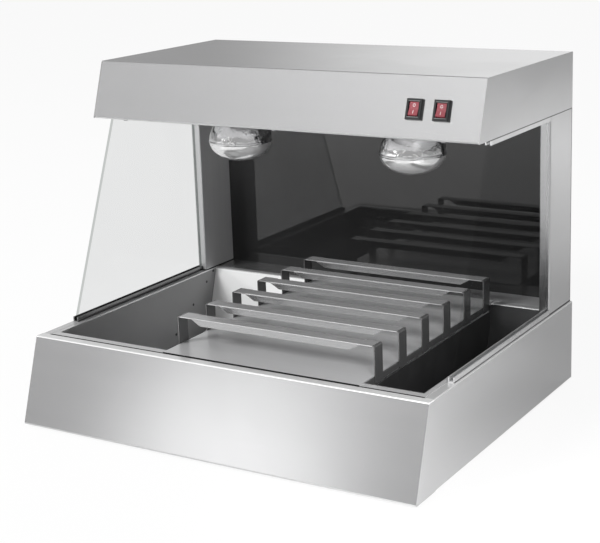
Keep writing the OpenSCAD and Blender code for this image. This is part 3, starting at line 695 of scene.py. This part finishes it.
class FRYWARMER_OT_sheet_metal(bpy.types.Operator):
    """Give the body, pan and rack their brushed sheet metal"""

    bl_idname = "frywarmer.sheet_metal"
    bl_label = "Sheet metal"

    def execute(self, context):
        look = context.scene.fry_sheet
        steel = (tuple(look.steel), look.roughness)
        self.finish_base(steel)
        self.finish_uprights(steel)
        self.finish_pan(steel)
        self.finish_rack(steel)
        give(satin_metal("Zinc coating", scaled(steel[0], 0.9), roughness=0.4),
             "left_socket_bracket", "right_socket_bracket")
        return {"FINISHED"}

    def finish_base(self, steel):
        """The base's panels and the hood's sheets."""
        colour = steel[0]
        give(brushed_steel("Body steel across", "X", *finish_of("body", *steel)),
             "base_rear_panel", "base_bottom_plate",
             "back_cover", "hood_cover", "hood_lamp_plate", "hood_rear_cover")
        # Painted shade on the shelf, with painted light towards the right
        shelf = brushed_steel("Shelf steel", "X", *finish_of("shelf", *steel))
        give(change_where(shelf, [("X", "MULTIPLY", SHELF_FADE)], scaled(colour, SHELF_LIGHT_TINT),
                          metal=SHELF_METAL), "base_rear_shelf")
        front = brushed_steel("Front panel steel", "X", *finish_of("front panel", *steel))
        give(rims_painted_lit(front, FRONT_RIM_HIGHLIGHT, FRONT_RIM_METAL), "base_front_panel")
        side = brushed_steel("Side panel steel", "Y", *finish_of("body", *steel))
        give(rims_painted_lit(side, SIDE_RIM_HIGHLIGHT, SIDE_RIM_METAL),
             "base_left_panel", "base_right_panel")

    def finish_uprights(self, steel):
        """The columns and the glazing channels."""
        colour = steel[0]
        for side, shade in (("left", LEFT_COLUMN_SHADE), ("right", BAND_SHADE)):
            column = brushed_steel(f"{side.title()} column steel", "Z",
                                   *finish_of(f"{side} column", *steel), shade=shade)
            low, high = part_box(f"{side}_column")
            front = ("Y", "LESS_THAN", low[1] + COLUMN_FRONT)
            outer = ("X", "LESS_THAN", low[0] + COLUMN_SKIN)
            foot = ("Z", "LESS_THAN", COLUMN_FOOT)
            under_hood = ("Z", "GREATER_THAN", high[2] - HOOD_SEAM)
            # Painted shade on the front faces; the left column has painted light, but not on its
            # outer side
            change_where(column, [front], scaled(colour, COLUMN_FRONT_SHADE_TINT))
            if side == "left":
                change_where(column, [outer], colour, metal=METAL_SHARE)
            change_where(column, [under_hood], SHADE)
            give(change_where(column, [foot], SHADE), f"{side}_column")
        channel = satin_metal("Channel aluminium", *finish_of("channel", *steel))
        give(change_where(channel, [under_hood], SHADE), "left_top_channel", "right_top_channel")
        # Painted light: the right lower channel shows lighter, with more plain scatter
        pale = satin_metal("Pale channel", *finish_of("channel painted light", *steel))
        low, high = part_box("right_bottom_channel")
        foot = ("Z", "LESS_THAN", low[2] + CHANNEL_FOOT)
        outer = ("X", "GREATER_THAN", high[0] - CHANNEL_SIDE)
        give(change_where(pale, [foot, outer], SHADE), "right_bottom_channel")
        # Painted shade: the left lower channel darker
        give(satin_metal("Dark channel", *finish_of("channel painted shade", *steel)),
             "left_bottom_channel")

    def finish_pan(self, steel):
        """The chip pan with its rivets, and the crumb tray."""
        pan = brushed_steel("Pan steel", "Y", *finish_of("pan", *steel))
        below = ("Z", "LESS_THAN", RIM_HEIGHT)
        ramp = [("Y", "GREATER_THAN", RAMP_START), ("X", "LESS_THAN", RAMP_SIDE, 0), below]
        left = [("X", "LESS_THAN", SIDE_SKIN, -PAN_SIDE), below]
        front = [("Y", "LESS_THAN", FRONT_SKIN, PAN_FRONT), below]
        # Painted light: the rear wall and the front wall's inner skin near white
        change_where(pan, ramp, PAINTED_LIGHT_WHITE, RAMP_ROUGHNESS, RAMP_METAL)
        # Painted shade: the left wall's inner skin darker
        change_where(pan, left, scaled(steel[0], PAN_WALL_SHADE_TINT), SIDE_ROUGHNESS, SIDE_METAL)
        change_where(pan, front, PAINTED_LIGHT_WHITE, FRONT_ROUGHNESS, FRONT_METAL)
        give(rims_painted_lit(pan, SIDE_RIM_HIGHLIGHT, SIDE_RIM_METAL), "chip_pan")
        give(satin_metal("Dark rivets", (0.10, 0.10, 0.10), roughness=0.4), "pan_rivets")
        give(moulded("Black coating", (0.04, 0.04, 0.041), roughness=0.4, coat=0.15),
             "crumb_tray")

    def finish_rack(self, steel):
        """The rack plate, its rails and the ribs."""
        colour = steel[0]
        # Painted light: the rack plate lighter than the plain steel
        plate = brushed_steel("Rack plate steel", "X", *finish_of("rack plate", *steel))
        give(change_where(plate, [("Y", "LESS_THAN", PLATE_EDGE)], SHADE), "rack_plate")
        # Painted shade: the ribs darker, with a painted highlight on their tops and painted shade
        # on their legs
        ribs = brushed_steel("Rack steel", "X", *finish_of("ribs", *steel))
        tops = ("Z", "GREATER_THAN", RIB_TOP)
        legs = ("X", "GREATER_THAN", RIB_HALF, RACK_MIDDLE)
        change_where(ribs, [tops], scaled(colour, RIB_TOP_HIGHLIGHT_TINT), metal=RIB_TOP_METAL)
        give(change_where(ribs, [legs], scaled(colour, LEG_SHADE_TINT), metal=LEG_METAL),
             "left_rack_rail", "right_rack_rail", *(f"rib_{i}" for i in range(1, 7)))


class FRYWARMER_OT_glazing(bpy.types.Operator):
    """Give the side glass and the dark back panel their finish"""

    bl_idname = "frywarmer.glazing"
    bl_label = "Glass and back panel"

    def execute(self, context):
        look = context.scene.fry_sheet
        for side in SIDES:
            pane = clear_glass(f"{side.title()} side glass", tuple(look.glass), *GLASS[side])
            give(pane, f"{side}_glass")
        give(dark_panel_material(tuple(look.panel)), "back_mirror")
        return {"FINISHED"}


class FRYWARMER_OT_fittings(bpy.types.Operator):
    """Finish the feet, the gland, the terminal block and the screws"""

    bl_idname = "frywarmer.fittings"
    bl_label = "Fittings"

    def execute(self, context):
        give(moulded("Foot rubber", (0.02, 0.02, 0.021), roughness=0.7), "rubber_feet")
        give(moulded("Black nylon", (0.018, 0.018, 0.02), roughness=0.45),
             "cable_gland", "gland_nut")
        give(moulded("Porcelain", (0.8, 0.78, 0.72), roughness=0.25, shade=0.03),
             "terminal_block", "left_lamp_socket", "right_lamp_socket")
        give(satin_metal("Brass", (0.62, 0.46, 0.2), roughness=0.3),
             "left_lamp_cap", "right_lamp_cap", "switch_terminals")
        steel = satin_metal("Screw steel", (0.45, 0.45, 0.46), roughness=0.3)
        recess = moulded("Recess shade", SHADE, roughness=0.6)
        upright, level = None, math.pi / 2
        for place, turn in (("hood", upright), ("rear", level), ("bottom", upright)):
            self.add_screws(f"{place}_screws", turn, [steel, recess])
        return {"FINISHED"}

    def add_screws(self, name, turn, materials):
        """Screws in place of a CAD node's, each where one of its solids stands."""
        mesh = bmesh.new()
        for place in self.screw_places(name, turn):
            before = set(mesh.verts)
            self.add_screw(mesh)
            fresh = [vert for vert in mesh.verts if vert not in before]
            if turn:
                tilt(mesh, fresh, turn)
            bmesh.ops.translate(mesh, verts=fresh, vec=place)
        piece = finish_piece(name.replace("screws", "fixings"), mesh, materials,
                             "housing", smooth=0.7)
        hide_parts(name)

    def screw_places(self, name, turn):
        """Middles of the heads' undersides, found from the CAD node's loose parts."""
        copy = bmesh.new()
        copy.from_mesh(frame["nodes"][name].data)
        bmesh.ops.remove_doubles(copy, verts=copy.verts, dist=1e-6)
        places, unseen = [], set(copy.verts)
        while unseen:
            stack, part = [unseen.pop()], []
            while stack:
                vert = stack.pop()
                part.append(vert.co.copy())
                for edge in vert.link_edges:
                    other = edge.other_vert(vert)
                    if other in unseen:
                        unseen.remove(other)
                        stack.append(other)
            low = Vector([min(co[i] for co in part) for i in range(3)])
            high = Vector([max(co[i] for co in part) for i in range(3)])
            middle = (low + high) / 2
            if turn:
                places.append((middle.x, high.y - HEAD_HEIGHT, middle.z))
            else:
                places.append((middle.x, middle.y, low.z + HEAD_HEIGHT))
        copy.free()
        return sorted(places)

    def add_screw(self, mesh):
        """A shank, and a head with a rounded rim and a recess in its flat middle."""
        flat = HEAD_RADIUS * HEAD_FLAT
        dome = [(flat + (HEAD_RADIUS - flat) * math.cos(turn),
                 -HEAD_RIM - (HEAD_HEIGHT - HEAD_RIM) * math.sin(turn))
                for turn in (i * math.pi / 8 for i in range(5))]
        shank = [(0, SHANK_LENGTH), (SHANK_RADIUS, SHANK_LENGTH), (SHANK_RADIUS, 0)]
        turned(mesh, [*shank, (HEAD_RADIUS, 0), *dome], steps=HEAD_STEPS)
        rim = bmesh.ops.create_circle(mesh, cap_ends=True, segments=HEAD_STEPS,
                                      radius=flat)["verts"]
        bmesh.ops.translate(mesh, verts=rim, vec=(0, 0, -HEAD_HEIGHT))
        top = max(rim[0].link_faces, key=lambda f: len(f.verts))
        bmesh.ops.inset_region(mesh, faces=[top], thickness=flat * RECESS_EDGE,
                               use_even_offset=True, use_boundary=True)
        wide = flat * RECESS_REACH
        for vert in top.verts:
            turn = math.atan2(vert.co.y, vert.co.x)
            nearest = max(min(abs(math.sin(turn)), abs(math.cos(turn))), 0.01)
            out = min(wide, wide * RECESS_ARM / nearest)
            vert.co.x, vert.co.y = out * math.cos(turn), out * math.sin(turn)
        sunk = raise_faces(mesh, [top], (0, 0, HEAD_HEIGHT * RECESS_DEPTH))
        floor = [part for part in sunk if isinstance(part, bmesh.types.BMFace)]
        for face in floor:
            face.material_index = 1
        if top.is_valid and top not in floor:
            bmesh.ops.delete(mesh, geom=[top], context="FACES_ONLY")


class FRYWARMER_OT_lamps(bpy.types.Operator):
    """Build the two silvered heat lamps"""

    bl_idname = "frywarmer.lamps"
    bl_label = "Heat lamps"

    def execute(self, context):
        look = context.scene.fry_lamps
        silver, tree, shader = lamp_skin(
            "Silvered glass", tuple(look.silver), size=30.0, faded=0.93, dull=(0.03, 0.06),
            metal=1.0, coat=0.4, coat_dull=0.02)
        bumped(tree, wiping_marks(tree, WAVE_SIZE), shader, WAVE_DEPTH)
        frost = lamp_skin(
            "Frosted lamp face", tuple(look.face), size=22.0, faded=0.94, dull=(0.09, 0.15),
            metal=0.6, coat=0.8, coat_dull=0.03)[0]
        for side in SIDES:
            self.add_lamp(side, [silver, frost], look.ring)
        return {"FINISHED"}

    def add_lamp(self, side, materials, ring):
        """A reflector lamp: ringed face, bead at its widest place and drawn-in neck."""
        low, high = (Vector(corner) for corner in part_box(f"{side}_lamp_bulb"))
        middle = (low + high) / 2
        radius = (high.x - low.x) / 2
        top = high.z - low.z
        mesh = bmesh.new()
        face = []
        for i in range(FACE_STEPS + 1):
            turn = i / FACE_STEPS * (math.pi / 2 - FACE_EDGE)
            out = (radius - LAMP_STEP) * math.sin(turn)
            height = LAMP_FACE * (1 - math.cos(turn))
            if out < radius * FACE_RINGS_REACH:
                height += FACE_RING_DEPTH * (1 - math.cos(math.tau * out / FACE_RING_PITCH))
            face.append((out, height))
        bead = [(radius - LAMP_STEP * (1 - math.sin(math.pi * i / BEAD_STEPS)),
                 LAMP_FACE + ring * (i / BEAD_STEPS - 0.5)) for i in range(BEAD_STEPS + 1)]
        shoulder = LAMP_FACE + ring / 2
        length = top - NECK_END - shoulder
        taper = radius - LAMP_STEP - NECK_RADIUS
        body = [(NECK_RADIUS + taper * (1 + math.cos(math.pi * i / BODY_STEPS)) / 2,
                 shoulder + length * i / BODY_STEPS) for i in range(BODY_STEPS + 1)]
        turned(mesh, [(0, 0), *face[1:], bead[0]], index=1)
        turned(mesh, [*bead, *body[1:], (NECK_RADIUS * NECK_TOP, top), (0, top)])
        bmesh.ops.translate(mesh, verts=mesh.verts, vec=(middle.x, middle.y, low.z))
        piece = finish_piece(f"{side}_heat_lamp", mesh, materials,
                             "housing", smooth=0.9)
        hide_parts(f"{side}_lamp_bulb")


class FRYWARMER_OT_switches(bpy.types.Operator):
    """Build the two rocker switches"""

    bl_idname = "frywarmer.switches"
    bl_label = "Switches"

    def execute(self, context):
        look = context.scene.fry_switches
        frame_black = moulded("Switch frame", tuple(look.frame_colour), roughness=0.32, coat=0.3)
        give(frame_black, "left_switch_housing", "right_switch_housing")
        # Painted highlight: the lip's upper and lower bars, lighter than the black frame
        lip = moulded("Clear lip", tuple(look.lip), roughness=0.2, coat=0.3)
        rocker = moulded("Rocker red", tuple(look.rocker), roughness=0.2, shade=0.06, coat=0.45)
        marks = moulded("Rocker marks", tuple(look.marks), roughness=0.3)
        for joint in frame["joints"]:
            if joint["name"].endswith("switch_tilt"):
                side = joint["name"].split("_")[0]
                self.add_lip(side, Vector(joint["pos_m"]), [lip, frame_black])
                self.add_rocker(side, Vector(joint["pos_m"]), [rocker, marks])
        return {"FINISHED"}

    def on_hood_front(self, mesh, pivot, turn=0.0):
        """Stands a flat-lying mesh on the hood's leaning front."""
        upright = Matrix.Rotation(math.pi / 2 - HOOD_LEAN, 4, "X") @ Matrix.Rotation(turn, 4, "X")
        bmesh.ops.transform(mesh, matrix=Matrix.Translation(pivot) @ upright, verts=mesh.verts)

    def add_lip(self, side, pivot, materials):
        """A lip round the rocker's opening: grey above and below as a painted highlight, black at
        its sides.
        """
        mesh = bmesh.new()
        bmesh.ops.create_grid(mesh, x_segments=1, y_segments=1, size=1.0)
        half = [size + LIP_WIDE - reach for size, reach in zip(OPENING_HALF, LIP_REACH)]
        bmesh.ops.scale(mesh, verts=mesh.verts, vec=(*half, 1))
        bmesh.ops.inset_region(mesh, faces=mesh.faces[:], thickness=LIP_WIDE, use_even_offset=True,
                               use_boundary=True)
        inner = min(mesh.faces, key=lambda f: f.calc_center_median().length)
        bmesh.ops.delete(mesh, geom=[inner], context="FACES_ONLY")
        raise_faces(mesh, mesh.faces[:], (0, 0, LIP_HIGH))
        bmesh.ops.recalc_face_normals(mesh, faces=mesh.faces)
        round_edges(mesh, mesh.edges, LIP_HIGH * LIP_BEVEL)
        for face in mesh.faces:
            face.material_index = int(abs(face.calc_center_median().y) < half[1] - LIP_WIDE)
        bmesh.ops.translate(mesh, verts=mesh.verts, vec=(0, 0, FRAME_OUT))
        self.on_hood_front(mesh, pivot)
        finish_piece(f"{side}_switch_lip", mesh, materials, "housing")

    def add_rocker(self, side, pivot, materials):
        """A rocker with two hollowed halves and their marks."""
        rise = ROCKER_HALF * math.tan(ROCKER_TURN)
        mesh = bmesh.new()
        reach = math.hypot(ROCKER_HALF, ROCKER_FACE + rise)
        lift = math.atan2(ROCKER_FACE + rise, ROCKER_HALF)
        upper = [(ROCKER_HALF * i / ROCKER_STEPS,
                  ROCKER_FACE + rise * (i / ROCKER_STEPS) ** ROCKER_HOLLOW)
                 for i in range(ROCKER_STEPS)]
        upper += [(reach * math.cos(lift - a), reach * math.sin(lift - a))
                  for a in ROCKER_ROUNDING]
        outline = upper + [(-y, z) for y, z in reversed(upper[1:])]
        corners = [mesh.verts.new((-ROCKER_WIDE / 2, y, z)) for y, z in outline]
        side_face = mesh.faces.new(corners)
        raise_faces(mesh, [side_face], (ROCKER_WIDE, 0, 0))
        bmesh.ops.recalc_face_normals(mesh, faces=mesh.faces)
        rims = [e for e in mesh.edges if abs(e.verts[0].co.x - e.verts[1].co.x) < 1e-6]
        round_edges(mesh, rims, ROCKER_BEVEL, segments=3)
        self.add_marks(mesh, rise)
        self.on_hood_front(mesh, pivot, -ROCKER_TURN)
        piece = finish_piece(f"{side}_rocker_button", mesh, materials,
                             f"{side}_rocker", smooth=0.5)
        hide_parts(f"{side}_switch_rocker")

    def add_marks(self, mesh, rise):
        """A moulded ring on the upper half and a bar on the lower one."""
        at = ROCKER_HALF * MARK_PLACE
        level = ROCKER_FACE + rise * MARK_PLACE ** ROCKER_HOLLOW
        slope = math.atan2(rise, ROCKER_HALF)
        before = set(mesh.verts)
        circle = bmesh.ops.create_circle(mesh, cap_ends=False, segments=10,
                                         radius=MARK_LINE)["verts"]
        tilt(mesh, circle, math.pi / 2)
        bmesh.ops.translate(mesh, verts=circle, vec=(MARK_RADIUS, 0, 0))
        edges = list(dict.fromkeys(edge for vert in circle for edge in vert.link_edges))
        bmesh.ops.spin(mesh, geom=circle + edges, cent=(0, 0, 0), axis=(0, 0, 1), angle=math.tau,
                       steps=32, use_merge=True)
        ring = [vert for vert in mesh.verts if vert not in before]
        bmesh.ops.scale(mesh, verts=ring, vec=RING_STRETCH)
        self.lay_on(mesh, ring, slope, (0, at, level))
        before = set(mesh.verts)
        bar = bmesh.ops.create_cube(mesh, size=1.0)["verts"]
        bmesh.ops.scale(mesh, verts=bar,
                        vec=(MARK_LINE * BAR_LINES, MARK_RADIUS * BAR_RADII, MARK_LINE))
        round_edges(mesh, {edge for vert in bar for edge in vert.link_edges},
                    MARK_LINE * BAR_BEVEL)
        bar = [vert for vert in mesh.verts if vert not in before]
        self.lay_on(mesh, bar, -slope, (0, -at, level))

    def lay_on(self, mesh, verts, slope, place):
        """Lays a mark on a half of the rocker, in the marks' material."""
        tilt(mesh, verts, slope)
        bmesh.ops.translate(mesh, verts=verts, vec=place)
        for face in {face for vert in verts for face in vert.link_faces}:
            face.material_index = 1


class FRYWARMER_OT_stage(bpy.types.Operator):
    """Set up the floor, the soft lights, the background and the camera"""

    bl_idname = "frywarmer.stage"
    bl_label = "Stage"

    def execute(self, context):
        look = context.scene.fry_stage
        self.add_floor(tuple(look.floor))
        self.add_world(look.fill)
        for name, placing in LIGHTS.items():
            self.add_light(f"{name.title()} light", getattr(look, name), *placing)
        self.add_camera(context)
        context.scene.view_settings.view_transform = "Standard"
        return {"FINISHED"}

    def add_floor(self, colour):
        """A wide floor that glows for the camera, so that it runs into the background."""
        mesh = bmesh.new()
        bmesh.ops.create_grid(mesh, x_segments=1, y_segments=1, size=FLOOR_HALF)
        data = bpy.data.meshes.new("floor")
        mesh.to_mesh(data)
        mesh.free()
        floor = bpy.data.objects.new("floor", data)
        bpy.context.scene.collection.objects.link(floor)
        mat, tree, shader = new_material("Floor")
        shader.inputs["Base Color"].default_value = (*colour, 1)
        shader.inputs["Roughness"].default_value = 0.9
        shader.inputs["Specular IOR Level"].default_value = 0.0
        glow = node(tree, "ShaderNodeEmission")
        path = node(tree, "ShaderNodeLightPath")
        mix = node(tree, "ShaderNodeMixShader")
        share = node(tree, "ShaderNodeMath", operation="MULTIPLY")
        share.inputs[1].default_value = FLOOR_GLOW
        tree.links.new(path.outputs["Is Camera Ray"], share.inputs[0])
        tree.links.new(share.outputs[0], mix.inputs[0])
        tree.links.new(shader.outputs[0], mix.inputs[1])
        tree.links.new(glow.outputs[0], mix.inputs[2])
        tree.links.new(mix.outputs[0], tree.nodes["Material Output"].inputs["Surface"])
        data.materials.append(mat)

    def add_world(self, fill):
        """A white background, and wide soft lights that the metal mirrors."""
        world = bpy.data.worlds.new("Studio")
        bpy.context.scene.world = world
        world.use_nodes = True
        tree = world.node_tree
        tree.nodes.clear()
        out = node(tree, "ShaderNodeOutputWorld")
        where = node(tree, "ShaderNodeTexCoord")
        level = None
        for turn, rise, spread, strength in SOFT_LIGHTS:
            facing = node(tree, "ShaderNodeVectorMath", operation="DOT_PRODUCT")
            facing.inputs[1].default_value = direction(math.radians(turn), math.radians(rise))
            tree.links.new(where.outputs["Generated"], facing.inputs[0])
            fade = node(tree, "ShaderNodeMapRange", interpolation_type="SMOOTHSTEP")
            fade.inputs["From Min"].default_value = math.cos(math.radians(spread))
            fade.inputs["To Max"].default_value = strength
            tree.links.new(facing.outputs["Value"], fade.inputs["Value"])
            add = node(tree, "ShaderNodeMath", operation="ADD")
            add.inputs[1].default_value = MIRRORED_LEVEL
            if level:
                tree.links.new(level, add.inputs[1])
            tree.links.new(fade.outputs[0], add.inputs[0])
            level = add.outputs[0]
        lights = node(tree, "ShaderNodeBackground")
        tree.links.new(level, lights.inputs["Strength"])
        soft = node(tree, "ShaderNodeBackground")
        soft.inputs["Strength"].default_value = fill
        white = node(tree, "ShaderNodeBackground")
        for each in (lights, soft, white):
            each.inputs["Color"].default_value = (1, 1, 1, 1)
        path = node(tree, "ShaderNodeLightPath")
        seen = node(tree, "ShaderNodeMath", operation="MAXIMUM")
        tree.links.new(path.outputs["Is Camera Ray"], seen.inputs[0])
        tree.links.new(path.outputs["Is Transmission Ray"], seen.inputs[1])
        shown = soft.outputs[0]
        for test, shader in ((path.outputs["Is Glossy Ray"], lights), (seen.outputs[0], white)):
            mix = node(tree, "ShaderNodeMixShader")
            tree.links.new(test, mix.inputs[0])
            tree.links.new(shown, mix.inputs[1])
            tree.links.new(shader.outputs[0], mix.inputs[2])
            shown = mix.outputs[0]
        tree.links.new(shown, out.inputs["Surface"])

    def add_light(self, name, power, place, target, size, spread):
        """A soft square light that neither the camera nor a mirroring surface sees."""
        data = bpy.data.lights.new(name, "AREA")
        data.shape = "RECTANGLE"
        data.size = data.size_y = size
        data.energy = power
        data.spread = math.radians(spread)
        light = bpy.data.objects.new(name, data)
        light.location = place
        light.rotation_euler = (Vector(target) - Vector(place)).to_track_quat("-Z", "Y").to_euler()
        light.visible_camera = False
        light.visible_glossy = False
        bpy.context.scene.collection.objects.link(light)

    def add_camera(self, context):
        """The camera that the photo was taken with."""
        turn, rise, roll = (math.radians(a) for a in CAMERA_ANGLES)
        back = direction(turn, rise)
        right = Vector((math.cos(turn), math.sin(turn), 0))
        up = back.cross(right)
        across = math.cos(roll) * right + math.sin(roll) * up
        upright = math.cos(roll) * up - math.sin(roll) * right
        data = bpy.data.cameras.new("Camera")
        data.sensor_width = SENSOR_WIDTH
        data.lens = SENSOR_WIDTH * FOCAL_PIXELS / PHOTO_WIDTH
        data.shift_x, data.shift_y = LENS_SHIFT
        data.clip_start, data.clip_end = CLIP_RANGE
        camera = bpy.data.objects.new("Camera", data)
        turned_to = Matrix((across, upright, back)).transposed().to_4x4()
        camera.matrix_world = Matrix.Translation(CAMERA_PLACE) @ turned_to
        context.scene.collection.objects.link(camera)
        context.scene.camera = camera


class FRYWARMER_PT_panel(bpy.types.Panel):
    """Lists the steps that build the fry warmer's looks"""

    bl_label = "Fry Warmer"
    bl_idname = "FRYWARMER_PT_panel"
    bl_space_type = "VIEW_3D"
    bl_region_type = "UI"
    bl_category = "Fry Warmer"

    def draw(self, context):
        for group in PROPERTY_GROUPS:
            box = self.layout.box()
            settings = getattr(context.scene, group)
            for key in settings.bl_rna.properties.keys():
                if key not in ("rna_type", "name"):
                    box.prop(settings, key)
        for step in OPERATORS:
            self.layout.operator(step.bl_idname)


PROPERTY_GROUPS = {"fry_sheet": SheetProperties, "fry_lamps": LampProperties,
                   "fry_switches": SwitchProperties, "fry_stage": StageProperties}
OPERATORS = (FRYWARMER_OT_sheet_metal, FRYWARMER_OT_glazing, FRYWARMER_OT_fittings,
             FRYWARMER_OT_lamps, FRYWARMER_OT_switches, FRYWARMER_OT_stage)
CLASSES = (*PROPERTY_GROUPS.values(), *OPERATORS, FRYWARMER_PT_panel)


def register():
    for each in CLASSES:
        bpy.utils.register_class(each)
    for name, kind in PROPERTY_GROUPS.items():
        setattr(bpy.types.Scene, name, bpy.props.PointerProperty(type=kind))


def unregister():
    for name in PROPERTY_GROUPS:
        delattr(bpy.types.Scene, name)
    for each in reversed(CLASSES):
        bpy.utils.unregister_class(each)


def main():
    register()
    for step in OPERATORS:
        group, name = step.bl_idname.split(".")
        getattr(getattr(bpy.ops, group), name)()


if __name__ == "__main__":
    main()
